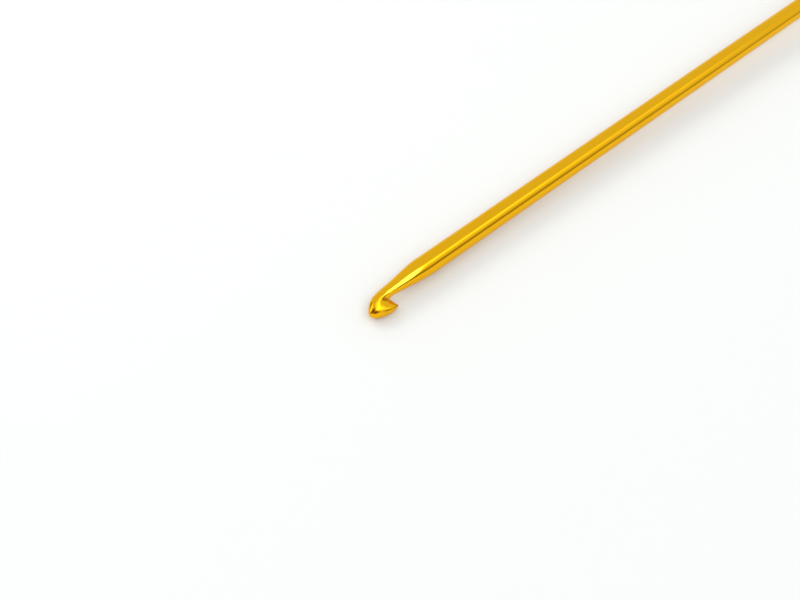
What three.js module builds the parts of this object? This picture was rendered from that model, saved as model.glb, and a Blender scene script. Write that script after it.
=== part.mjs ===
// Long crochet hook (Tunisian style): a turned aluminium rod with a forged hook head,
// and a six-sided stopper on its far end, made of a cap, a backing plate and a core.
// Millimetres, +Z up. +X runs along the shaft, from the hook head to the stopper.
// The hook lies on a table at z = 0, on its head and on one flat of the stopper.
import * as THREE from 'three';

// Shaft
const SHAFT_RADIUS = 2.0;
const SHAFT_LENGTH = 244.2;
const SPIGOT_RADIUS = 1.7;
const SPIGOT_LENGTH = 4.6;
const GROOVE_RADIUS = 1.4;
const GROOVE_COUNT = 2;
const GROOVE_WIDTH = 0.6;
const GROOVE_PITCH = 1.5;
const SPIGOT_CHAMFER = 0.3;

// Hook head. The head is a bent bar: its sections run from the shaft, round the nose,
// to the tip of the lip. Each section spans from the outer line (back, nose, underside
// of the lip) to the inner line (throat, bottom of the mouth, inner face of the lip).
// x is along the shaft, m is across it towards the mouth, thick is half the thickness,
// ridge places the thickest point between outer line (-1) and inner line (1), and power
// rounds the sides: 2 is an ellipse, and less is more like a roof.
const HEAD_SECTIONS = [
  { outer: [14.50, -2.00], inner: [14.50, 2.00], thick: 2.00, ridge: 0.00, power: 2.00 },
  { outer: [12.10, -1.99], inner: [12.50, 1.86], thick: 1.99, ridge: 0.03, power: 2.05 },
  { outer: [9.30, -1.64], inner: [9.30, 1.50], thick: 1.83, ridge: 0.10, power: 2.10 },
  { outer: [6.40, -1.24], inner: [6.60, 1.18], thick: 1.64, ridge: 0.12, power: 2.10 },
  { outer: [4.65, -1.09], inner: [5.55, 1.10], thick: 1.63, ridge: 0.10, power: 2.00 },
  { outer: [3.30, -0.90], inner: [5.12, 1.18], thick: 1.61, ridge: 0.00, power: 1.85 },
  { outer: [2.12, -0.57], inner: [4.92, 1.26], thick: 1.58, ridge: -0.12, power: 1.72 },
  { outer: [0.97, 0.20], inner: [4.85, 1.34], thick: 1.56, ridge: -0.20, power: 1.65 },
  { outer: [0.05, 1.56], inner: [4.86, 1.46], thick: 1.55, ridge: -0.11, power: 1.62 },
  { outer: [0.78, 2.70], inner: [4.93, 1.58], thick: 1.52, ridge: -0.09, power: 1.62 },
  { outer: [2.28, 3.30], inner: [5.05, 1.86], thick: 1.45, ridge: -0.16, power: 1.65 },
  { outer: [3.62, 3.50], inner: [5.18, 2.18], thick: 1.30, ridge: -0.16, power: 1.70 },
  { outer: [4.68, 3.44], inner: [5.31, 2.56], thick: 1.05, ridge: -0.10, power: 1.80 },
  { outer: [5.31, 3.23], inner: [5.41, 2.85], thick: 0.62, ridge: 0.00, power: 2.00 },
  { outer: [5.46, 3.06], inner: [5.47, 3.04], thick: 0.10, ridge: 0.00, power: 2.00 },
];
const RINGS_PER_SECTION = 3;
// The rod is cut here into two bodies: the shaft, and the head with its throat.
const HEAD_CUT = 20.0;

// Pressed flats on both sides of the throat, rising to the round shaft
const THROAT_HALF_THICKNESS = 1.6;
const FLAT_LEVEL_END = 6.3;
const FLAT_RUN_OUT = 12.5;

// Points round a section: arc points a quarter, and where a quarter ends when nothing is
// pressed flat
const ARC_POINTS = 5;
const FULL_ARC_ANGLE = THREE.MathUtils.degToRad(80);

// Stopper, in six-sided sections. APOTHEM is half the size across flats. The mouth of the
// hook is square to one of the flats.
const STOPPER_SIDES = 6;
const CORNER_POINTS = 4;
const CAP_APOTHEM = 7.5;
const CAP_WALL = 0.6;
const CORNER_RADIUS = 2.5;
const CAP_END = 250.0;
const CAP_RIM = 242.5;
const CAP_BEVEL = 1.2;
const RIM_CURL = 0.45;
const FACE_RING_RADIUS = 3.6;
const FACE_RING_WIDTH = 0.5;
const FACE_RING_DEPTH = 0.25;
const PLATE_FRONT = 243.1;
const PLATE_BACK = 244.1;
const COLLAR_FRONT = 241.4;
const COLLAR_RADIUS = 3.2;
const COLLAR_BASE_RADIUS = 3.8;
const FIT_GAP = 0.15;
const CORE_BACK = CAP_END - CAP_WALL - FIT_GAP;
const CORE_FRONT = PLATE_BACK + FIT_GAP;

// Lie of the hook on the table
const ROLL = THREE.MathUtils.degToRad(30);
const SETTLE_STEPS = 20;

const goldAnodised = { color: 0xe0aa14, roughness: 0.22, metalness: 1.0 };
const plateGold = { color: 0xd49c12, roughness: 0.32, metalness: 1.0 };
const coreNylon = { color: 0xe9e6dc, roughness: 0.6, metalness: 0.0 };

// A closed body from rings of points. Rings have the same number of points, listed
// clockwise seen from +X, and the outside runs from the +X end towards -X. An open
// sequence is closed with a fan at each end.
function bodyFromRings(rings, isLoop) {
  const count = rings[0].length;
  const positions = [];
  const indices = [];
  for (const ring of rings) {
    for (const point of ring) {
      positions.push(point.x, point.y, point.z);
    }
  }
  const bands = isLoop ? rings.length : rings.length - 1;
  for (let band = 0; band < bands; band += 1) {
    const here = band * count;
    const next = ((band + 1) % rings.length) * count;
    for (let k = 0; k < count; k += 1) {
      const side = (k + 1) % count;
      indices.push(here + k, next + side, next + k);
      indices.push(here + k, here + side, next + side);
    }
  }
  if (!isLoop) {
    closeEnd(positions, indices, rings[0], 0, false);
    closeEnd(positions, indices, rings[rings.length - 1], (rings.length - 1) * count, true);
  }
  const geometry = new THREE.BufferGeometry();
  geometry.setAttribute('position', new THREE.Float32BufferAttribute(positions, 3));
  geometry.setIndex(indices);
  geometry.computeVertexNormals();
  return geometry;
}

// A fan of triangles from the middle of an end ring.
function closeEnd(positions, indices, ring, start, isLast) {
  const centre = new THREE.Vector3();
  for (const point of ring) {
    centre.addScaledVector(point, 1 / ring.length);
  }
  const middle = positions.length / 3;
  positions.push(centre.x, centre.y, centre.z);
  for (let k = 0; k < ring.length; k += 1) {
    const side = (k + 1) % ring.length;
    const first = isLast ? start + side : start + k;
    const second = isLast ? start + k : start + side;
    indices.push(first, middle, second);
  }
}

// Half thickness left by the pressed flats at x.
function flatHeight(x) {
  const share = THREE.MathUtils.clamp((x - FLAT_LEVEL_END) / (FLAT_RUN_OUT - FLAT_LEVEL_END), 0, 2);
  return THREE.MathUtils.lerp(THROAT_HALF_THICKNESS, SHAFT_RADIUS, share);
}

// Points of one quarter of a section, from its edge up to the flat: [span, height] pairs,
// on a superellipse of the given power.
function quarterPoints(power, thick, flat) {
  const fullHeight = Math.pow(Math.sin(FULL_ARC_ANGLE), 2 / power);
  const topHeight = Math.min(flat / thick, fullHeight);
  const topAngle = Math.asin(Math.pow(topHeight, power / 2));
  const points = [];
  for (let k = 0; k <= ARC_POINTS; k += 1) {
    const angle = (topAngle * k) / ARC_POINTS;
    const span = Math.pow(Math.cos(angle), 2 / power);
    const height = k === 0 ? 0 : Math.pow(Math.sin(angle), 2 / power);
    points.push([span, height * thick]);
  }
  return points;
}

// One ring of the bar, from its outer point, inner point, half thickness, ridge place and
// power.
function barRing(outer, inner, thick, ridge, power) {
  const middle = outer.clone().add(inner).multiplyScalar(0.5);
  const reach = inner.clone().sub(outer).multiplyScalar(0.5);
  const flat = flatHeight(middle.x);
  const quarter = quarterPoints(power, thick, flat);
  const upper = [];
  for (const [span, height] of quarter) {
    upper.push([ridge + (1 - ridge) * span, height]);
  }
  upper.push([ridge, Math.min(thick, flat)]);
  for (const [span, height] of quarter.reverse()) {
    upper.push([ridge - (1 + ridge) * span, height]);
  }
  const lower = upper.slice(1, -1).reverse().map(([span, height]) => [span, -height]);
  const ring = [];
  for (const [span, height] of upper.concat(lower)) {
    const along = middle.x + reach.x * span;
    const across = middle.y + reach.y * span;
    ring.push(new THREE.Vector3(along, -across, height));
  }
  return ring;
}

// A round ring that lines up with the bar's rings.
function roundRing(x, radius) {
  const quarter = quarterPoints(2, radius, radius);
  const upper = quarter.map(([span, height]) => [radius * span, height]);
  upper.push([0, radius]);
  for (const [span, height] of quarter.reverse()) {
    upper.push([-radius * span, height]);
  }
  const lower = upper.slice(1, -1).reverse().map(([across, height]) => [across, -height]);
  return upper.concat(lower).map(([across, height]) => new THREE.Vector3(x, -across, height));
}

// A smooth curve through one triple of numbers for each section of the head.
function sectionCurve(triples) {
  const points = triples.map((triple) => new THREE.Vector3(...triple));
  return new THREE.CatmullRomCurve3(points, false, 'catmullrom');
}

// The rings of the head, from the round shaft to the tip of the lip.
function headRings() {
  const outerLine = sectionCurve(HEAD_SECTIONS.map(({ outer, thick }) => [...outer, thick]));
  const innerLine = sectionCurve(HEAD_SECTIONS.map(({ inner, ridge }) => [...inner, ridge]));
  const powerLine = sectionCurve(HEAD_SECTIONS.map(({ power }) => [power, 0, 0]));
  const steps = (HEAD_SECTIONS.length - 1) * RINGS_PER_SECTION;
  const rings = [];
  for (let step = 0; step <= steps; step += 1) {
    const out = outerLine.getPoint(step / steps);
    const into = innerLine.getPoint(step / steps);
    const outer = new THREE.Vector2(out.x, out.y);
    const inner = new THREE.Vector2(into.x, into.y);
    rings.push(barRing(outer, inner, out.z, into.z, powerLine.getPoint(step / steps).x));
  }
  return rings;
}

// The rings of the grooved spigot, from its chamfered end back to the shoulder.
function spigotRings() {
  const end = SHAFT_LENGTH + SPIGOT_LENGTH;
  const rings = [roundRing(end, SPIGOT_RADIUS - SPIGOT_CHAMFER)];
  rings.push(roundRing(end - SPIGOT_CHAMFER, SPIGOT_RADIUS));
  for (let k = 0; k < GROOVE_COUNT; k += 1) {
    const back = end - 1.0 - k * GROOVE_PITCH;
    const front = back - GROOVE_WIDTH;
    rings.push(roundRing(back, SPIGOT_RADIUS));
    rings.push(roundRing(back, GROOVE_RADIUS));
    rings.push(roundRing(front, GROOVE_RADIUS));
    rings.push(roundRing(front, SPIGOT_RADIUS));
  }
  rings.push(roundRing(SHAFT_LENGTH, SPIGOT_RADIUS));
  rings.push(roundRing(SHAFT_LENGTH, SHAFT_RADIUS));
  return rings;
}

// The head and its throat, from the cut to the tip of the lip.
function hookHead() {
  const rings = [roundRing(HEAD_CUT - FIT_GAP / 2, SHAFT_RADIUS), ...headRings()];
  return bodyFromRings(rings, false);
}

// The round shaft and its spigot, from the end of the spigot to the cut.
function hookShaft() {
  const rings = [...spigotRings(), roundRing(HEAD_CUT + FIT_GAP / 2, SHAFT_RADIUS)];
  return bodyFromRings(rings, false);
}

// A ring of a six-sided section with rounded corners. A corner radius equal to the
// apothem gives a round ring. One flat faces down.
function stopperRing(x, apothem, cornerRadius) {
  const halfSide = Math.PI / STOPPER_SIDES;
  const cornerDistance = (apothem - cornerRadius) / Math.cos(halfSide);
  const arcStep = (2 * halfSide) / CORNER_POINTS;
  const ring = [];
  for (let corner = 0; corner < STOPPER_SIDES; corner += 1) {
    const direction = corner * 2 * halfSide;
    for (let k = 0; k < CORNER_POINTS; k += 1) {
      const angle = direction + (k - (CORNER_POINTS - 1) / 2) * arcStep;
      const y = cornerDistance * Math.cos(direction) + cornerRadius * Math.cos(angle);
      const z = cornerDistance * Math.sin(direction) + cornerRadius * Math.sin(angle);
      ring.push(new THREE.Vector3(x, -y, z));
    }
  }
  return ring;
}

// A drawn cup with a curled rim, a bevelled end and a shallow ring pressed in its face.
function stopperCap() {
  const inside = CAP_APOTHEM - CAP_WALL;
  const insideCorner = CORNER_RADIUS - CAP_WALL;
  const ringIn = FACE_RING_RADIUS - FACE_RING_WIDTH;
  const ringFloor = CAP_END - FACE_RING_DEPTH;
  const bevelApothem = CAP_APOTHEM - CAP_BEVEL;
  const innerEnd = CAP_END - CAP_WALL;
  const rings = [
    stopperRing(CAP_END, ringIn, ringIn),
    stopperRing(ringFloor, ringIn + FACE_RING_DEPTH / 2, ringIn + FACE_RING_DEPTH / 2),
    stopperRing(ringFloor, FACE_RING_RADIUS, FACE_RING_RADIUS),
    stopperRing(CAP_END, FACE_RING_RADIUS + FACE_RING_DEPTH / 2, FACE_RING_RADIUS + FACE_RING_DEPTH / 2),
    stopperRing(CAP_END, bevelApothem, CORNER_RADIUS),
    stopperRing(CAP_END - CAP_BEVEL * 0.35, CAP_APOTHEM - CAP_BEVEL * 0.35, CORNER_RADIUS),
    stopperRing(CAP_END - CAP_BEVEL, CAP_APOTHEM, CORNER_RADIUS),
    stopperRing(CAP_RIM + RIM_CURL * 0.5, CAP_APOTHEM, CORNER_RADIUS),
    stopperRing(CAP_RIM, CAP_APOTHEM - RIM_CURL * 0.5, CORNER_RADIUS),
    stopperRing(CAP_RIM, inside - RIM_CURL, insideCorner),
    stopperRing(CAP_RIM + RIM_CURL, inside - RIM_CURL, insideCorner),
    stopperRing(CAP_RIM + RIM_CURL, inside, insideCorner),
    stopperRing(innerEnd - CAP_BEVEL, inside, insideCorner),
    stopperRing(innerEnd, inside - CAP_BEVEL, insideCorner),
  ];
  return bodyFromRings(rings, false);
}

// A plate behind the rim of the cap, with a collar round the shaft.
function stopperPlate() {
  const edge = CAP_APOTHEM - CAP_WALL - FIT_GAP;
  const edgeCorner = CORNER_RADIUS - CAP_WALL;
  const bore = SHAFT_RADIUS + FIT_GAP;
  const rings = [
    stopperRing(PLATE_BACK, bore, bore),
    stopperRing(PLATE_BACK, edge, edgeCorner),
    stopperRing(PLATE_FRONT, edge, edgeCorner),
    stopperRing(PLATE_FRONT, COLLAR_BASE_RADIUS, COLLAR_BASE_RADIUS),
    stopperRing(COLLAR_FRONT + 0.9, COLLAR_RADIUS, COLLAR_RADIUS),
    stopperRing(COLLAR_FRONT + 0.3, COLLAR_RADIUS, COLLAR_RADIUS),
    stopperRing(COLLAR_FRONT, COLLAR_RADIUS - 0.35, COLLAR_RADIUS - 0.35),
    stopperRing(COLLAR_FRONT, bore, bore),
  ];
  return bodyFromRings(rings, true);
}

// The moulded core that fills the cap and grips the spigot.
function stopperCore() {
  const side = CAP_APOTHEM - CAP_WALL - FIT_GAP;
  const sideCorner = CORNER_RADIUS - CAP_WALL;
  const bore = SPIGOT_RADIUS + FIT_GAP;
  const rings = [
    stopperRing(CORE_BACK, bore, bore),
    stopperRing(CORE_BACK, side - CAP_BEVEL, sideCorner),
    stopperRing(CORE_BACK - CAP_BEVEL, side, sideCorner),
    stopperRing(CORE_FRONT, side, sideCorner),
    stopperRing(CORE_FRONT, bore, bore),
  ];
  return bodyFromRings(rings, true);
}

function addPiece(parent, name, geometry, look) {
  const mesh = new THREE.Mesh(geometry, new THREE.MeshStandardMaterial(look));
  mesh.name = name;
  parent.add(mesh);
  return mesh;
}

// Lowest height of a mesh's points once the hook is tilted about its tip.
function lowestHeight(mesh, tilt) {
  const points = mesh.geometry.getAttribute('position');
  const point = new THREE.Vector3();
  let lowest = Infinity;
  for (let k = 0; k < points.count; k += 1) {
    point.fromBufferAttribute(points, k);
    point.applyEuler(mesh.rotation);
    lowest = Math.min(lowest, point.x * Math.sin(tilt) + point.z * Math.cos(tilt));
  }
  return lowest;
}

// The tilt that brings the lowest points of the head and of the stopper to one level.
function settledTilt(headMesh, capMesh) {
  let tilt = 0;
  for (let step = 0; step < SETTLE_STEPS; step += 1) {
    const drop = lowestHeight(headMesh, tilt) - lowestHeight(capMesh, tilt);
    tilt += drop / CAP_RIM;
  }
  return tilt;
}

const assembly = new THREE.Group();
const head = addPiece(assembly, 'hook_head', hookHead(), goldAnodised);
head.rotation.x = ROLL;
addPiece(assembly, 'hook_shaft', hookShaft(), goldAnodised).rotation.x = ROLL;
const cap = addPiece(assembly, 'stopper_cap', stopperCap(), goldAnodised);
addPiece(assembly, 'stopper_plate', stopperPlate(), plateGold);
addPiece(assembly, 'stopper_core', stopperCore(), coreNylon);
assembly.rotation.y = -settledTilt(head, cap);
assembly.updateMatrixWorld(true);

const bounds = new THREE.Box3().setFromObject(assembly, true);
assembly.position.x = -(bounds.min.x + bounds.max.x) / 2;
assembly.position.y = -(bounds.min.y + bounds.max.y) / 2;
assembly.position.z = -bounds.min.z;

const hook = new THREE.Group();
hook.add(assembly);
export default hook;
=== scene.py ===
"""Long gold anodised crochet hook lying on a pale table, on its head and its stopper."""
import math

import bpy
import numpy as np
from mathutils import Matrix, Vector


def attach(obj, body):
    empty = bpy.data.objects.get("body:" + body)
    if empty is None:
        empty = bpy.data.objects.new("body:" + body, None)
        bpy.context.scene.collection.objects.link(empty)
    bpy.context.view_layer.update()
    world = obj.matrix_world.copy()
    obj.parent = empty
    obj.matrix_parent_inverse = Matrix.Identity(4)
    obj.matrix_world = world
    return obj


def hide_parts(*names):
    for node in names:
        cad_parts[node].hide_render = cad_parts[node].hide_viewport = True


MM = 0.001

# Lie of the hook: its length axis starts at the nose, rises towards the stopper, and the
# head is rolled about it. Lengths of the hook are in millimetres until a mesh is made.
ROLL = math.radians(30.0)
TILT = math.radians(1.15984)
NOSE_PLACE = np.array([-125.0708, 0.0, 2.5639])

# The rod behind its head: the round shaft, then a thinner spigot with two grooves.
SHAFT_RADIUS = 2.0
SHAFT_END = 244.2
SHAFT_RINGS = 76
FIRST_SHAFT_RING = SHAFT_END - 4.0
LAST_SHAFT_RING = 16.0
SPIGOT_RADIUS = 1.7
SPIGOT_END = 248.8
SPIGOT_ROUNDING = 0.3
GROOVE_RADIUS = 1.4
GROOVE_WIDTH = 0.6
GROOVE_BACKS = (247.8, 246.3)

# Sections of the head from the shaft to the tip of the lip: x and m of the outer line,
# half thickness, x and m of the inner line, place of the ridge between them, and the power
# that rounds its sides (2 is an ellipse, less is more like a roof). m is the distance across
# from the length axis, towards the lip.
HEAD_SECTIONS = np.array([
    (14.50, -2.00, 2.00, 14.50, 2.00, 0.00, 2.00),
    (12.10, -1.99, 1.99, 12.50, 1.86, 0.03, 2.05),
    (9.30, -1.64, 1.83, 9.30, 1.50, 0.10, 2.10),
    (6.40, -1.24, 1.64, 6.60, 1.18, 0.12, 2.10),
    (4.65, -1.09, 1.63, 5.55, 1.10, 0.10, 2.00),
    (3.30, -0.90, 1.61, 5.12, 1.18, 0.00, 1.85),
    (2.12, -0.57, 1.58, 4.92, 1.26, -0.12, 1.72),
    (0.97, 0.20, 1.56, 4.85, 1.34, -0.20, 1.65),
    (0.05, 1.56, 1.55, 4.86, 1.46, -0.11, 1.62),
    (0.78, 2.70, 1.52, 4.93, 1.58, -0.09, 1.62),
    (2.28, 3.30, 1.45, 5.05, 1.86, -0.16, 1.65),
    (3.62, 3.50, 1.30, 5.18, 2.18, -0.16, 1.70),
    (4.68, 3.44, 1.05, 5.31, 2.56, -0.10, 1.80),
    (5.31, 3.23, 0.62, 5.41, 2.85, 0.00, 2.00),
    (5.46, 3.06, 0.10, 5.47, 3.04, 0.00, 2.00),
])
THROAT_HALF_THICKNESS = 1.6
FLAT_LEVEL_END = 6.3
FLAT_RUN_OUT = 12.5
FULL_ARC = math.radians(80.0)
ARC_STEPS = 18
CROWN_SHARES = (0.03, 0.12, 0.35, 0.68)
RINGS_PER_SECTION = 14

# Painted shade on the head, placed by x and m: a long patch of painted shade in the bottom of the
# mouth, and a line of painted dark reflection along the ridge of the lip.
PATCH_PLACE = (3.9, 0.95)
PATCH_ALONG = (0.76, 0.65)
PATCH_REACH = (0.60, 0.30)
LINE_PLACE = (2.64, 2.70)
LINE_RISE = 0.147
LINE_REACH = 0.16
LINE_START = 1.9
LINE_RUN_IN = 0.7
LINE_STRENGTH = 0.5

# The stopper: a drawn cap, the plate behind it and the core inside it.
STOPPER_SIDES = 6
CORNER_STEPS = 14
CAP_APOTHEM = 7.5
CAP_WALL = 0.6
CORNER_RADIUS = 2.5
CAP_END = 250.0
CAP_RIM = 242.5
CAP_BEVEL = 1.2
BEVEL_SHOULDER = 0.42
POLE_RADIUS = 1.0
RING_INNER = 3.1
RING_OUTER = 3.75
RING_DEPTH = 0.25
RING_SLOPE = 0.15
RIM_ROUNDING = 0.22
RIM_CURL = 0.45
FIT_GAP = 0.15
PLATE_FRONT = 244.1
PLATE_BACK = 243.1
COLLAR_RADIUS = 3.2
COLLAR_BACK = 241.4
COLLAR_FLARE = 0.6
COLLAR_FLARE_LENGTH = 0.8
COLLAR_BEVEL = 0.3
COLLAR_BACK_RADIUS = 2.85

# Where the closed profiles of the plate and the core start and end, part way along their bores.
PLATE_SEAM = (243.5, 242.4)
CORE_SEAM = (246.0, 245.0)

# Colours of the finishes and the sky, and how far each axis is multiplied for the gold's lines.
GOLD_DEEP = (0.86, 0.415, 0.0012, 1.0)
GOLD_LIGHT = (0.94, 0.505, 0.003, 1.0)
# Paler gold: real wear on the edges, and a painted highlight on the pressed flats.
GOLD_WORN_AND_FLAT_HIGHLIGHT = (0.94, 0.62, 0.06, 1.0)
# Dark red-brown for painted shade in the mouth and a painted dark reflection along the lip's ridge.
GOLD_PAINTED_SHADE = (0.34, 0.075, 0.001, 1.0)
GOLD_EDGE_TINT = (1.0, 0.86, 0.55, 1.0)
DRAWN_ALONG = (0.12, 16.0, 16.0)
BRUSHED_ACROSS = (9.0, 0.9, 9.0)
SCRATCHED_ALONG = (1.6, 11.0, 11.0)
NYLON_DARK = (0.78, 0.75, 0.66, 1.0)
NYLON_LIGHT = (0.86, 0.84, 0.78, 1.0)
TABLE_DARK = (0.738, 0.742, 0.738, 1.0)
TABLE_LIGHT = (0.758, 0.762, 0.758, 1.0)
SKY_PALE = (0.955, 1.005, 1.02, 1.0)
SKY_BROWN = (1.0, 0.42, 0.20, 1.0)

# Stage, in metres, watts and degrees unless a name says otherwise.
FLOOR_REACH = 24.0
FLOOR_CELLS = 40
WINDOW_SIZE = (0.55, 0.40)
WINDOW_WATTS = 2.1
WINDOW_COLOUR = (1.0, 0.89, 0.78)
WINDOW_AIM = (-0.06, 0.0, 0.0)
WINDOW_OFFSET = (-0.10, 0.60, 0.58)
CAMERA_AZIMUTH = -39.856
CAMERA_ELEVATION = 55.0
CAMERA_LENS_MM = 38.093
CAMERA_SENSOR_MM = 36.0
CAMERA_PLACE_MM = (-173.648, -68.004, 124.020)
CAMERA_CLIP = (0.005, 20.0)


# ---------------------------------------------------------------- the hook's own frame

def lie_on_table(points, roll):
    """Points (x, across, up) rolled about the length axis, tilted about the nose, and moved."""
    x, across, up = points[..., 0], points[..., 1], points[..., 2]
    y = across * math.cos(roll) - up * math.sin(roll)
    z = across * math.sin(roll) + up * math.cos(roll)
    tilted = np.stack([
        x * math.cos(TILT) - z * math.sin(TILT),
        y,
        x * math.sin(TILT) + z * math.cos(TILT),
    ], axis=-1)
    return (tilted + NOSE_PLACE) * MM


# ---------------------------------------------------------------- surfaces

def smooth_rows(rows, places):
    """Rows read between their knots: each stretch is a cubic whose slope at a knot is half
    the step from the row before to the row after."""
    slope = np.empty_like(rows)
    slope[1:-1] = (rows[2:] - rows[:-2]) / 2
    slope[0] = rows[1] - rows[0]
    slope[-1] = rows[-1] - rows[-2]
    start = np.clip(places.astype(int), 0, len(rows) - 2)
    t = (places - start)[:, None]
    return (
        (2 * t**3 - 3 * t**2 + 1) * rows[start]
        + (t**3 - 2 * t**2 + t) * slope[start]
        + (3 * t**2 - 2 * t**3) * rows[start + 1]
        + (t**3 - t**2) * slope[start + 1]
    )


def flat_height(x):
    """Half thickness left by the pressed flats: level at the throat, then a straight ramp."""
    share = np.clip((x - FLAT_LEVEL_END) / (FLAT_RUN_OUT - FLAT_LEVEL_END), 0.0, 2.0)
    return THROAT_HALF_THICKNESS + (SHAFT_RADIUS - THROAT_HALF_THICKNESS) * share


def quarter(power, thick, flat):
    """One quarter of each section: span is cos(angle)**(2/power) and height is
    thick * sin(angle)**(2/power), cut off at the flat. Even steps run up to the angle where
    the flat starts, or to the full arc where it doesn't cut, and a few more, close to that
    edge at first, cross the crown."""
    full = math.sin(FULL_ARC) ** (2 / power)
    top = np.arcsin(np.minimum(flat / thick, full) ** (power / 2))[:, None]
    up = top * np.linspace(0.0, 1.0, ARC_STEPS + 1)
    over = top + (math.pi / 2 - top) * np.array(CROWN_SHARES)
    angle = np.hstack([up, over])
    exponent = (2 / power)[:, None]
    height = thick[:, None] * np.sin(angle) ** exponent
    return np.cos(angle) ** exponent, np.minimum(height, flat[:, None])


def whole_ring(span, high, ridge, ridge_height):
    """A quarter's span and height made into whole rings: the quarter from the inner line to
    the ridge, the same mirrored down to the outer line, and both once more underneath."""
    r = ridge[:, None]
    span = np.hstack([r + (1 - r) * span, r, (r - (1 + r) * span)[:, ::-1]])
    high = np.hstack([high, ridge_height[:, None], high[:, ::-1]])
    return np.hstack([span, span[:, -2:0:-1]]), np.hstack([high, -high[:, -2:0:-1]])


def bar_rings(outer, inner, thick, ridge, power):
    """Rings of the bent bar: each runs from the inner line over the ridge to the outer line
    and back underneath, two superellipse halves joined at the ridge."""
    middle, reach = (outer + inner) / 2, (inner - outer) / 2
    flat = flat_height(middle[:, 0])
    span, high = quarter(power, thick, flat)
    span, high = whole_ring(span, high, ridge, np.minimum(thick, flat))
    x = middle[:, :1] + reach[:, :1] * span
    across = -(middle[:, 1:] + reach[:, 1:] * span)
    return np.stack([x, across, high], axis=-1)


def round_rings(x, radius):
    """Circles of this radius at x, with as many points as the bar's rings, in the same order."""
    power, no_flat = np.full(len(x), 2.0), np.full(len(x), 2 * SHAFT_RADIUS)
    span, high = quarter(power, radius, no_flat)
    span, high = whole_ring(span, high, np.zeros(len(x)), radius)
    return np.stack([np.repeat(x[:, None], span.shape[1], 1), -radius[:, None] * span, high], axis=-1)


def filleted(corners, steps=5):
    """A profile whose corners (x, size, corner radius, fillet) are rounded: each fillet is a
    quadratic curve between points one fillet length before and after the corner, or 0.49 of
    the way to the next corner where that is nearer."""
    corners = np.asarray(corners, float)
    place, fillet = corners[:, :3], corners[:, 3]
    rows = [place[:1]]
    t = np.linspace(0.0, 1.0, steps + 1)[:, None]
    for before, here, after, reach in zip(place[:-2], place[1:-1], place[2:], fillet[1:-1]):
        if reach <= 0:
            rows.append(here[None])
            continue
        back = here + (before - here) * min(0.49, reach / np.linalg.norm((before - here)[:2]))
        on = here + (after - here) * min(0.49, reach / np.linalg.norm((after - here)[:2]))
        rows.append((1 - t)**2 * back + 2 * t * (1 - t) * here + t**2 * on)
    rows.append(place[-1:])
    return np.vstack(rows)


def circle(x, radius, fillet):
    """A corner of a profile where the section is round: its corner radius is its apothem."""
    return x, radius, radius, fillet


def six_sided_rings(profile):
    """Rings of a six-sided section with rounded corners, one for each row (x, apothem, corner
    radius): each corner is an arc round a centre on its own spoke. One flat faces down."""
    x, apothem, corner = profile.T
    half_side = math.pi / STOPPER_SIDES
    direction = np.repeat(np.arange(STOPPER_SIDES) * 2 * half_side, CORNER_STEPS)
    swing = np.tile((np.arange(CORNER_STEPS) + 0.5) / CORNER_STEPS * 2 - 1, STOPPER_SIDES) * half_side
    centre = ((apothem - corner) / math.cos(half_side))[:, None]
    across = centre * np.cos(direction) + corner[:, None] * np.cos(direction + swing)
    up = centre * np.sin(direction) + corner[:, None] * np.sin(direction + swing)
    return np.stack([np.repeat(x[:, None], swing.size, 1), -across, up], axis=-1)


def store_numbers(mesh, name, values):
    """Keeps one number for each point of the mesh, for its material to read."""
    stored = mesh.attributes.new(name, "FLOAT", "POINT")
    stored.data.foreach_set("value", values.astype(np.float32))


def closed_mesh(name, rings, is_loop=False, roll=0.0, marks=()):
    """A closed body from rings. Neighbouring rings are joined by quads. A loop joins its last
    ring to its first, and an open sequence has a fan to a pole at each end. The points are
    kept as the section attribute before they lie on the table, and marks are (name, function
    of those points) for the other attributes."""
    bands, count = rings.shape[0], rings.shape[1]
    points = rings.reshape(-1, 3)
    here = np.arange(bands if is_loop else bands - 1)[:, None] * count
    after = (here + count) % (bands * count)
    k = np.arange(count)[None, :]
    side = (k + 1) % count
    quads = np.stack([here + k, here + side, after + side, after + k], axis=-1).reshape(-1, 4)
    faces = quads.tolist()
    if not is_loop:
        poles = np.stack([rings[0].mean(axis=0), rings[-1].mean(axis=0)])
        points = np.vstack([points, poles])
        first, last = bands * count, bands * count + 1
        ring = np.arange(count)
        start = np.stack([ring, np.full(count, first), (ring + 1) % count], axis=-1)
        base = (bands - 1) * count
        end = np.stack([base + (ring + 1) % count, np.full(count, last), base + ring], axis=-1)
        faces += start.tolist() + end.tolist()
    mesh = bpy.data.meshes.new(name)
    mesh.from_pydata(lie_on_table(points, roll).tolist(), [], faces)
    section = mesh.attributes.new("section", "FLOAT_VECTOR", "POINT")
    section.data.foreach_set("vector", points.astype(np.float32).ravel())
    for mark, share in marks:
        store_numbers(mesh, mark, share(points))
    mesh.shade_smooth()
    mesh.validate()
    piece = bpy.data.objects.new(name, mesh)
    bpy.context.scene.collection.objects.link(piece)
    return piece


# ---------------------------------------------------------------- shapes of the pieces

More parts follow.
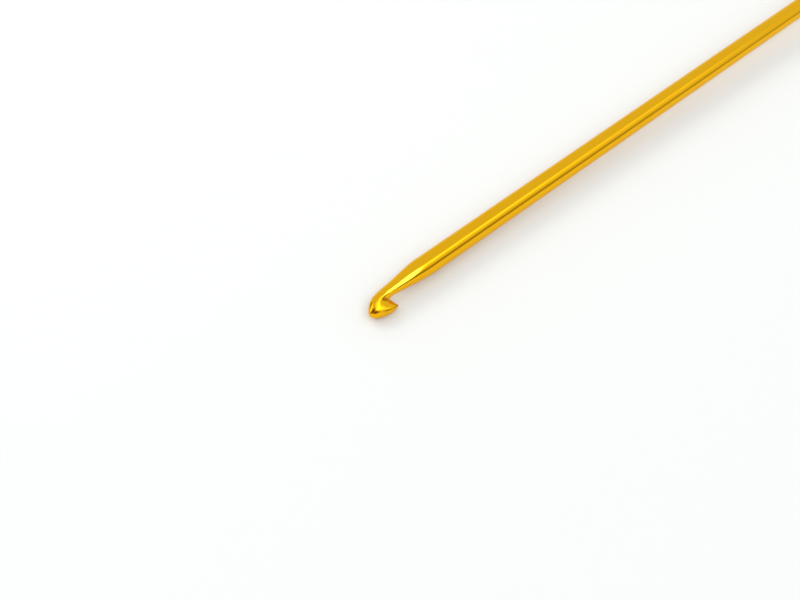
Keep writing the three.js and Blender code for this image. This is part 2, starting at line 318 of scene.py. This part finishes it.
def hook_rings():
    """All rings of the rod: a rounded profile turned round the length axis for the spigot,
    even circles along the shaft, then the bent bar of the head to the tip of the lip."""
    spigot = [(SPIGOT_END, SPIGOT_RADIUS - SPIGOT_ROUNDING, 0, 0)]
    spigot += [(SPIGOT_END, SPIGOT_RADIUS, 0, SPIGOT_ROUNDING)]
    for back in GROOVE_BACKS:
        front = back - GROOVE_WIDTH
        spigot += [(back, SPIGOT_RADIUS, 0, 0.08), (back, GROOVE_RADIUS, 0, 0.1)]
        spigot += [(front, GROOVE_RADIUS, 0, 0.1), (front, SPIGOT_RADIUS, 0, 0.08)]
    spigot += [(SHAFT_END, SPIGOT_RADIUS, 0, 0.1), (SHAFT_END, SHAFT_RADIUS, 0, 0.15)]
    spigot += [(SHAFT_END - 1.0, SHAFT_RADIUS, 0, 0)]
    profile = filleted(spigot, 4)
    shaft_x = np.linspace(FIRST_SHAFT_RING, LAST_SHAFT_RING, SHAFT_RINGS)
    last_section = len(HEAD_SECTIONS) - 1
    places = np.linspace(0.0, last_section, last_section * RINGS_PER_SECTION + 1)
    rows = smooth_rows(HEAD_SECTIONS, places)
    head = bar_rings(rows[:, 0:2], rows[:, 3:5], rows[:, 2], rows[:, 5], rows[:, 6])
    return np.concatenate([
        round_rings(profile[:, 0], profile[:, 1]),
        round_rings(shaft_x, np.full(len(shaft_x), SHAFT_RADIUS)),
        head,
    ])


def cap_rings():
    """The drawn cup, a rounded profile carried round six sides: its end with a pressed ring,
    the bevel, the side, the curled rim and the inside."""
    inside, inside_corner = CAP_APOTHEM - CAP_WALL, CORNER_RADIUS - CAP_WALL
    inner_end = CAP_END - CAP_WALL
    profile = filleted([
        circle(CAP_END, POLE_RADIUS, 0),
        circle(CAP_END, RING_INNER, 0.25),
        circle(CAP_END - RING_DEPTH, RING_INNER + RING_SLOPE, 0.15),
        circle(CAP_END - RING_DEPTH, RING_OUTER - RING_SLOPE, 0.15),
        circle(CAP_END, RING_OUTER, 0.25),
        (CAP_END, CAP_APOTHEM - CAP_BEVEL, CORNER_RADIUS, 0.5),
        (CAP_END - BEVEL_SHOULDER, CAP_APOTHEM - BEVEL_SHOULDER, CORNER_RADIUS, 0.45),
        (CAP_END - CAP_BEVEL, CAP_APOTHEM, CORNER_RADIUS, 0.5),
        (CAP_RIM + RIM_ROUNDING, CAP_APOTHEM, CORNER_RADIUS, 0.12),
        (CAP_RIM, CAP_APOTHEM - RIM_ROUNDING, CORNER_RADIUS, 0.12),
        (CAP_RIM, inside - RIM_CURL, inside_corner, 0.18),
        (CAP_RIM + RIM_CURL, inside - RIM_CURL, inside_corner, 0.12),
        (CAP_RIM + RIM_CURL, inside, inside_corner, 0.05),
        (inner_end - CAP_BEVEL, inside, inside_corner, 0.3),
        (inner_end, inside - CAP_BEVEL, inside_corner, 0.3),
        circle(inner_end, POLE_RADIUS, 0),
    ])
    return six_sided_rings(profile)


def plate_rings():
    """The backing plate with its collar, a closed profile carried round the shaft."""
    edge, edge_corner = CAP_APOTHEM - CAP_WALL - FIT_GAP, CORNER_RADIUS - CAP_WALL
    bore = SHAFT_RADIUS + FIT_GAP
    profile = filleted([
        circle(PLATE_SEAM[0], bore, 0),
        circle(PLATE_FRONT, bore, 0.1),
        (PLATE_FRONT, edge, edge_corner, 0.1),
        (PLATE_BACK, edge, edge_corner, 0.1),
        circle(PLATE_BACK, COLLAR_RADIUS + COLLAR_FLARE, 0.5),
        circle(PLATE_BACK - COLLAR_FLARE_LENGTH, COLLAR_RADIUS, 0.5),
        circle(COLLAR_BACK + COLLAR_BEVEL, COLLAR_RADIUS, 0.2),
        circle(COLLAR_BACK, COLLAR_BACK_RADIUS, 0.2),
        circle(COLLAR_BACK, bore, 0.12),
        circle(PLATE_SEAM[1], bore, 0),
    ])
    return six_sided_rings(profile)


def core_rings():
    """The moulded core, a closed profile carried round the spigot."""
    side, side_corner = CAP_APOTHEM - CAP_WALL - FIT_GAP, CORNER_RADIUS - CAP_WALL
    bore = SPIGOT_RADIUS + FIT_GAP
    back, front = CAP_END - CAP_WALL - FIT_GAP, PLATE_FRONT + FIT_GAP
    profile = filleted([
        circle(CORE_SEAM[0], bore, 0),
        circle(back, bore, 0.15),
        (back, side - CAP_BEVEL, side_corner, 0.3),
        (back - CAP_BEVEL, side, side_corner, 0.3),
        (front, side, side_corner, 0.2),
        circle(front, bore, 0.15),
        circle(CORE_SEAM[1], bore, 0),
    ])
    return six_sided_rings(profile)


def flat_highlight_share(points):
    """1 on the pressed flats, where a painted highlight goes, falling to 0 within 0.02 below them and
    0.5 before they run out.
    """
    x, height = points[:, 0], np.abs(points[:, 2])
    depth = flat_height(x) - height
    return np.clip(1 - depth / 0.02, 0, 1) * np.clip((FLAT_RUN_OUT - x) / 0.5, 0, 1)


def painted_shade_share(points):
    """The larger of two painted darkenings: painted shade in the mouth and a painted dark
    reflection along the lip's ridge. The patch is exp(-away**4), where away is 1 on an ellipse with
    its long axis along PATCH_ALONG. The line is a Gaussian across the ridge, which runs in
    over its first stretch."""
    x, m = points[:, 0], -points[:, 1]
    ahead, aside = x - PATCH_PLACE[0], m - PATCH_PLACE[1]
    along = PATCH_ALONG[0] * ahead + PATCH_ALONG[1] * aside
    across = PATCH_ALONG[0] * aside - PATCH_ALONG[1] * ahead
    away = np.hypot(along / PATCH_REACH[0], across / PATCH_REACH[1])
    off_line = m - LINE_PLACE[1] - LINE_RISE * (x - LINE_PLACE[0])
    line = LINE_STRENGTH * np.exp(-(off_line / LINE_REACH)**2)
    return np.maximum(np.exp(-away**4), line * np.clip((x - LINE_START) / LINE_RUN_IN, 0, 1))


# ---------------------------------------------------------------- shader maths

class Wire:
    """A socket of a node tree. Arithmetic on wires and numbers adds Math nodes."""

    def __init__(self, tree, source):
        self.tree, self.source = tree, source

    def _math(self, operation, first, second=None):
        sockets = {0: first} if second is None else {0: first, 1: second}
        return add_node(self.tree, "ShaderNodeMath", {"operation": operation}, sockets)[0]

    def __add__(self, other):
        return self._math("ADD", self, other)

    __radd__ = __add__

    def __mul__(self, other):
        return self._math("MULTIPLY", self, other)

    __rmul__ = __mul__

    def __sub__(self, other):
        return self._math("SUBTRACT", self, other)

    def __rsub__(self, other):
        return self._math("SUBTRACT", other, self)

    def __truediv__(self, other):
        return self._math("DIVIDE", self, other)

    def __rtruediv__(self, other):
        return self._math("DIVIDE", other, self)

    def __pow__(self, other):
        return self._math("POWER", self, other)

    def __rpow__(self, other):
        return self._math("POWER", other, self)

    def at_least(self, other):
        return self._math("MAXIMUM", self, other)

    def at_most(self, other):
        return self._math("MINIMUM", self, other)

    def size(self):
        return self._math("ABSOLUTE", self)

    def arcsine(self):
        return self._math("ARCSINE", self)

    def arctangent(self, other):
        """The angle whose tangent is this over the other."""
        return self._math("ARCTAN2", self, other)

    def step_up(self, start, end):
        """0 up to start, 1 from end on, smooth between. With start above end it counts down:
        1 up to end and 0 from start on."""
        return add_node(self.tree, "ShaderNodeMapRange", {"interpolation_type": "SMOOTHSTEP"},
                        {"Value": self, "From Min": start, "From Max": end})[0]


def add_node(tree, kind, settings=(), sockets=()):
    """Adds a node: its settings first, then its sockets' values or links. Gives its outputs."""
    node = tree.nodes.new(kind)
    for key, value in dict(settings).items():
        setattr(node, key, value)
    for key, value in dict(sockets).items():
        socket = node.inputs[key]
        if isinstance(value, Wire):
            tree.links.new(value.source, socket)
        else:
            socket.default_value = value
    return [Wire(tree, out) for out in node.outputs]


def blend_colours(tree, share, first, second):
    """The first colour where share is 0, the second where it is 1."""
    settings, sockets = {"data_type": "RGBA"}, {0: share, 6: first, 7: second}
    return add_node(tree, "ShaderNodeMix", settings, sockets)[2]


def noise(tree, place, scale, detail=3.0, roughness=0.5):
    """Noise, 0 to 1, at the given scale."""
    return add_node(tree, "ShaderNodeTexNoise", {"noise_dimensions": "3D"}, {
        "Vector": place, "Scale": scale, "Detail": detail, "Roughness": roughness})[0]


def stretched(tree, place, stretch):
    """The place with each axis multiplied: a pattern is drawn out along the one multiplied least."""
    return add_node(tree, "ShaderNodeVectorMath", {"operation": "MULTIPLY"}, {0: place, 1: stretch})[0]


def stored_vector(tree, name):
    """A vector that the mesh keeps for each point."""
    return add_node(tree, "ShaderNodeAttribute", {"attribute_name": name})[1]


def stored_number(tree, name):
    """A number that the mesh keeps for each point, 0 where it keeps none."""
    return add_node(tree, "ShaderNodeAttribute", {"attribute_name": name})[2]


def relief(tree, strength, distance, height):
    """A bump of this height, to feed a normal."""
    return add_node(tree, "ShaderNodeBump", {}, {
        "Strength": strength, "Distance": distance, "Height": height})[0]


def new_material(name):
    """A material with an empty node tree."""
    material = bpy.data.materials.new(name)
    material.use_nodes = True
    material.node_tree.nodes.clear()
    return material, material.node_tree


def shade(tree, sockets):
    """Ends a material with its one shader, which gets these values and links."""
    shader = add_node(tree, "ShaderNodeBsdfPrincipled", {}, sockets)[0]
    add_node(tree, "ShaderNodeOutputMaterial", {}, {"Surface": shader})


# ---------------------------------------------------------------- finishes

def gold_anodised(name, line_strength, brushed):
    """Bright gold anodised aluminium: fine lines drawn along the rod, or brushed across the
    stopper, faint cloudy dye, hairline scratches, slightly paler worn edges, a painted highlight
    that makes the pressed flats paler, painted shade in the bottom of the mouth and a painted
    dark reflection along the lip's ridge."""
    material, tree = new_material(name)
    section = stored_vector(tree, "section")
    cloud = noise(tree, section, 0.22, 4.0, 0.55)
    speckle = noise(tree, section, 14.0, 2.0, 0.6)
    line_stretch = BRUSHED_ACROSS if brushed else DRAWN_ALONG
    lines = noise(tree, stretched(tree, section, line_stretch), 1.0, 5.0, 0.65)
    scratches = noise(tree, stretched(tree, section, SCRATCHED_ALONG), 0.8, 2.0, 0.4)
    hairlines = (1.0 - (scratches - 0.5).size() * 90.0).at_least(0.0)
    pointed = add_node(tree, "ShaderNodeNewGeometry")[7]
    wear = pointed.step_up(0.56, 0.72) * (0.35 + 0.65 * speckle)
    pressed = stored_number(tree, "pressed")
    # Painted shade in the mouth and a painted dark reflection along the lip's ridge.
    painted_shade = stored_number(tree, "painted_shade_mask") * (0.75 + 0.25 * speckle)
    colour = blend_colours(tree, 0.35 * cloud + 0.25 * lines + 0.18, GOLD_DEEP, GOLD_LIGHT)
    # Worn edges are real wear. The pressed flats get a painted highlight.
    colour = blend_colours(tree, (wear * 0.6 + pressed * 0.55).at_most(1.0), colour, GOLD_WORN_AND_FLAT_HIGHLIGHT)
    colour = blend_colours(tree, painted_shade, colour, GOLD_PAINTED_SHADE)
    height = lines * line_strength + hairlines * -0.15 + speckle * 0.04
    shade(tree, {
        "Base Color": colour,
        "Metallic": 1.0,
        "Roughness": 0.05 + 0.08 * lines + 0.04 * cloud + 0.10 * hairlines,
        "Normal": relief(tree, 0.12, 0.00003, height),
        "Specular Tint": GOLD_EDGE_TINT,
        "Coat Weight": 0.12,
        "Coat Roughness": 0.05,
        "Coat IOR": 1.6,
    })
    return material


def moulded_nylon(name):
    """Natural nylon: slightly cloudy off-white with a fine moulded grain."""
    material, tree = new_material(name)
    section = stored_vector(tree, "section")
    cloud = noise(tree, section, 0.4, 3.0)
    grain = noise(tree, section, 9.0, 2.0)
    shade(tree, {
        "Base Color": blend_colours(tree, cloud, NYLON_DARK, NYLON_LIGHT),
        "Roughness": 0.45 + 0.15 * grain,
        "Normal": relief(tree, 0.2, 0.00004, grain),
        "Subsurface Weight": 0.15,
        "Subsurface Scale": 0.002,
    })
    return material


def white_table(name):
    """A matt white table top with a trace of unevenness in its tone."""
    material, tree = new_material(name)
    place = add_node(tree, "ShaderNodeTexCoord")[3]
    tone = noise(tree, place, 3.0, 2.0)
    shade(tree, {
        "Base Color": blend_colours(tree, tone, TABLE_DARK, TABLE_LIGHT),
        "Roughness": 0.75,
        "Specular IOR Level": 0.25,
    })
    return material


# ---------------------------------------------------------------- pieces

def dress(piece, material, slot, *nodes):
    """Gives the piece its finish, and lets it stand for these nodes of the frame."""
    piece.data.materials.append(material)
    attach(piece, "root")
    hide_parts(*nodes)


def make_rod():
    """The aluminium rod: head, shaft and spigot in one piece."""
    # The second mark says where painted shade and a painted dark reflection go on the head.
    marks = (("pressed", flat_highlight_share), ("painted_shade_mask", painted_shade_share))
    piece = closed_mesh("hook_rod", hook_rings(), roll=ROLL, marks=marks)
    material = gold_anodised("gold_rod", 0.5, brushed=False)
    dress(piece, material, "gold_anodised_aluminium", "hook_head", "hook_shaft")


def make_cap():
    """The stopper's drawn aluminium cup."""
    piece = closed_mesh("end_cap", cap_rings())
    material = gold_anodised("gold_cap", 0.4, brushed=True)
    dress(piece, material, "gold_anodised_aluminium", "stopper_cap")


def make_plate():
    """The plate behind the cap's rim, with its collar."""
    piece = closed_mesh("end_plate", plate_rings(), is_loop=True)
    material = gold_anodised("gold_plate", 0.6, brushed=True)
    dress(piece, material, "gold_anodised_plate", "stopper_plate")


def make_core():
    """The nylon core that grips the spigot inside the cap."""
    piece = closed_mesh("end_core", core_rings(), is_loop=True)
    dress(piece, moulded_nylon("nylon_core"), "natural_nylon", "stopper_core")


# ---------------------------------------------------------------- stage

def make_floor():
    """A large flat grid of square cells at the height of the table top."""
    across = np.linspace(-FLOOR_REACH, FLOOR_REACH, FLOOR_CELLS + 1)
    x, y = np.meshgrid(across, across, indexing="ij")
    points = np.stack([x, y, 0.0 * x], axis=-1).reshape(-1, 3)
    row, column = np.meshgrid(np.arange(FLOOR_CELLS), np.arange(FLOOR_CELLS), indexing="ij")
    next_row = FLOOR_CELLS + 1
    corner = (row * next_row + column).reshape(-1, 1)
    faces = corner + np.array([[0, next_row, next_row + 1, 1]])
    mesh = bpy.data.meshes.new("table_top")
    mesh.from_pydata(points.tolist(), [], faces.tolist())
    mesh.shade_smooth()
    floor = bpy.data.objects.new("table_top", mesh)
    bpy.context.scene.collection.objects.link(floor)
    mesh.materials.append(white_table("white_table"))


def rise_and_fall(angle, rise, fall):
    """0 to 1 over the rise and back to 0 over the fall, both in degrees."""
    return angle.step_up(*map(math.radians, rise)) * angle.step_up(*map(math.radians, fall[::-1]))


def round_patch(tree, direction, turn, rise, reach):
    """0 beyond the first reach and 1 within the second, smooth between. The reach is counted
    from a direction turned from -X towards -Y and then lifted by rise. All are in degrees."""
    turn, rise = math.radians(turn), math.radians(rise)
    centre = (-math.cos(rise) * math.cos(turn), -math.cos(rise) * math.sin(turn), math.sin(rise))
    facing = add_node(tree, "ShaderNodeVectorMath", {"operation": "DOT_PRODUCT"}, {
        0: direction, 1: centre})[1]
    return facing.step_up(*(math.cos(math.radians(edge)) for edge in reach))


def overhead_lights(x, lean):
    """A long panel over the maker's side, in a bright and a fainter length, and two wider
    lights over the head. lean is the angle from straight up towards the maker, about the X
    axis, and each light rises and falls over it."""
    near, far = x.step_up(0.60, 0.45), x.step_up(0.77, 0.64)
    panel = rise_and_fall(lean, (12.0, 22.0), (31.0, 34.0)) * (0.55 * near + 0.36 * far)
    corner = rise_and_fall(lean, (16.0, 24.0), (38.0, 46.0)) * x.step_up(0.39, 0.31) * 1.3
    wide = rise_and_fall(lean, (-22.0, -10.0), (56.0, 66.0)) * x.step_up(0.14, 0.04) * 0.8
    return (panel + corner + wide) * x.step_up(-0.62, -0.42)


def dark_band(x, y, z):
    """A dark band low down on the maker's side. It is full within 4 degrees of its middle and
    gone 11.5 degrees away, and its middle sinks from 17 to 7 degrees towards the stopper."""
    towards = (-0.35 * x + -0.94 * y) / (x * x + y * y + 0.0001) ** 0.5
    height = z.arcsine() * (180.0 / math.pi)
    off = (height - (17.0 - 10.0 * x.step_up(0.45, 0.80))).size()
    return off.step_up(11.5, 4.0) * towards.at_least(0.0) * x.step_up(-0.10, 0.15) * 0.79


def make_sky():
    """Soft studio surroundings: an even pale dome with a faint wide shelf of light, the lights
    overhead and one low lamp, less the dark band, the maker and a doorway. The maker and the
    band are brown where no light covers them."""
    world = bpy.data.worlds.new("studio")
    bpy.context.scene.world = world
    world.use_nodes = True
    tree = world.node_tree
    tree.nodes.clear()
    direction = add_node(tree, "ShaderNodeTexCoord")[0]
    x, y, z = add_node(tree, "ShaderNodeSeparateXYZ", {}, {0: direction})
    lean = (-1.0 * y).arctangent(z)
    shelf = rise_and_fall(lean, (20.0, 30.0), (40.0, 60.0)) * x.step_up(0.77, 0.66) * 0.16
    lamp = round_patch(tree, direction, -42.0, 19.0, (14.0, 7.0))
    glow = overhead_lights(x, lean) + lamp * 0.9
    band = dark_band(x, y, z)
    head = round_patch(tree, direction, 0.0, 28.0, (25.0, 17.0))
    body = round_patch(tree, direction, 46.0, 22.0, (24.0, 14.0))
    maker = (head + body).at_most(1.0)
    doorway = round_patch(tree, direction, -60.0, 2.0, (15.0, 9.0))
    dome = (0.86 + shelf - band - maker * 0.66 - doorway * 0.80).at_least(0.02)
    brown = (maker + band * 0.5).at_most(1.0) * (1.0 - glow * 2.0).at_least(0.0)
    tint = blend_colours(tree, brown, SKY_PALE, SKY_BROWN)
    background = add_node(tree, "ShaderNodeBackground", {}, {"Color": tint, "Strength": dome + glow})[0]
    add_node(tree, "ShaderNodeOutputWorld", {}, {"Surface": background})


def make_window():
    """The soft window light behind the hook, which throws its shadow towards the front."""
    data = bpy.data.lights.new("window", "AREA")
    data.shape = "RECTANGLE"
    data.size, data.size_y = WINDOW_SIZE
    data.energy = WINDOW_WATTS
    data.color = WINDOW_COLOUR
    window = bpy.data.objects.new("window", data)
    bpy.context.scene.collection.objects.link(window)
    window.location = Vector(WINDOW_AIM) + Vector(WINDOW_OFFSET)
    window.rotation_mode = "QUATERNION"
    window.rotation_quaternion = Vector(WINDOW_OFFSET).to_track_quat("Z", "Y")
    window.visible_glossy = False


def make_camera():
    """A close view down on the head, with the shaft running away to the right."""
    azimuth, elevation = math.radians(CAMERA_AZIMUTH), math.radians(CAMERA_ELEVATION)
    back = Vector((
        math.sin(azimuth) * math.cos(elevation),
        -math.cos(azimuth) * math.cos(elevation),
        math.sin(elevation),
    ))
    data = bpy.data.cameras.new("camera")
    data.sensor_width = CAMERA_SENSOR_MM
    data.lens = CAMERA_LENS_MM
    data.clip_start, data.clip_end = CAMERA_CLIP
    camera = bpy.data.objects.new("camera", data)
    camera.location = Vector(CAMERA_PLACE_MM) * MM
    camera.rotation_mode = "QUATERNION"
    camera.rotation_quaternion = back.to_track_quat("Z", "Y")
    bpy.context.scene.collection.objects.link(camera)
    bpy.context.scene.camera = camera


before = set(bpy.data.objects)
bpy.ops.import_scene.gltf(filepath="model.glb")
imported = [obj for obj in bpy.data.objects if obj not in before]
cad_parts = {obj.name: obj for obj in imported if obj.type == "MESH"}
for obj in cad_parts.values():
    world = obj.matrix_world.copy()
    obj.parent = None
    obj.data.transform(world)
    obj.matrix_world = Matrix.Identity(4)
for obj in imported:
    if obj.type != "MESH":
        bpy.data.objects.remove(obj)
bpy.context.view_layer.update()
scene = bpy.context.scene
scene.view_settings.view_transform = "Standard"
make_camera()

make_rod()
make_cap()
make_plate()
make_core()

make_floor()
make_sky()
make_window()
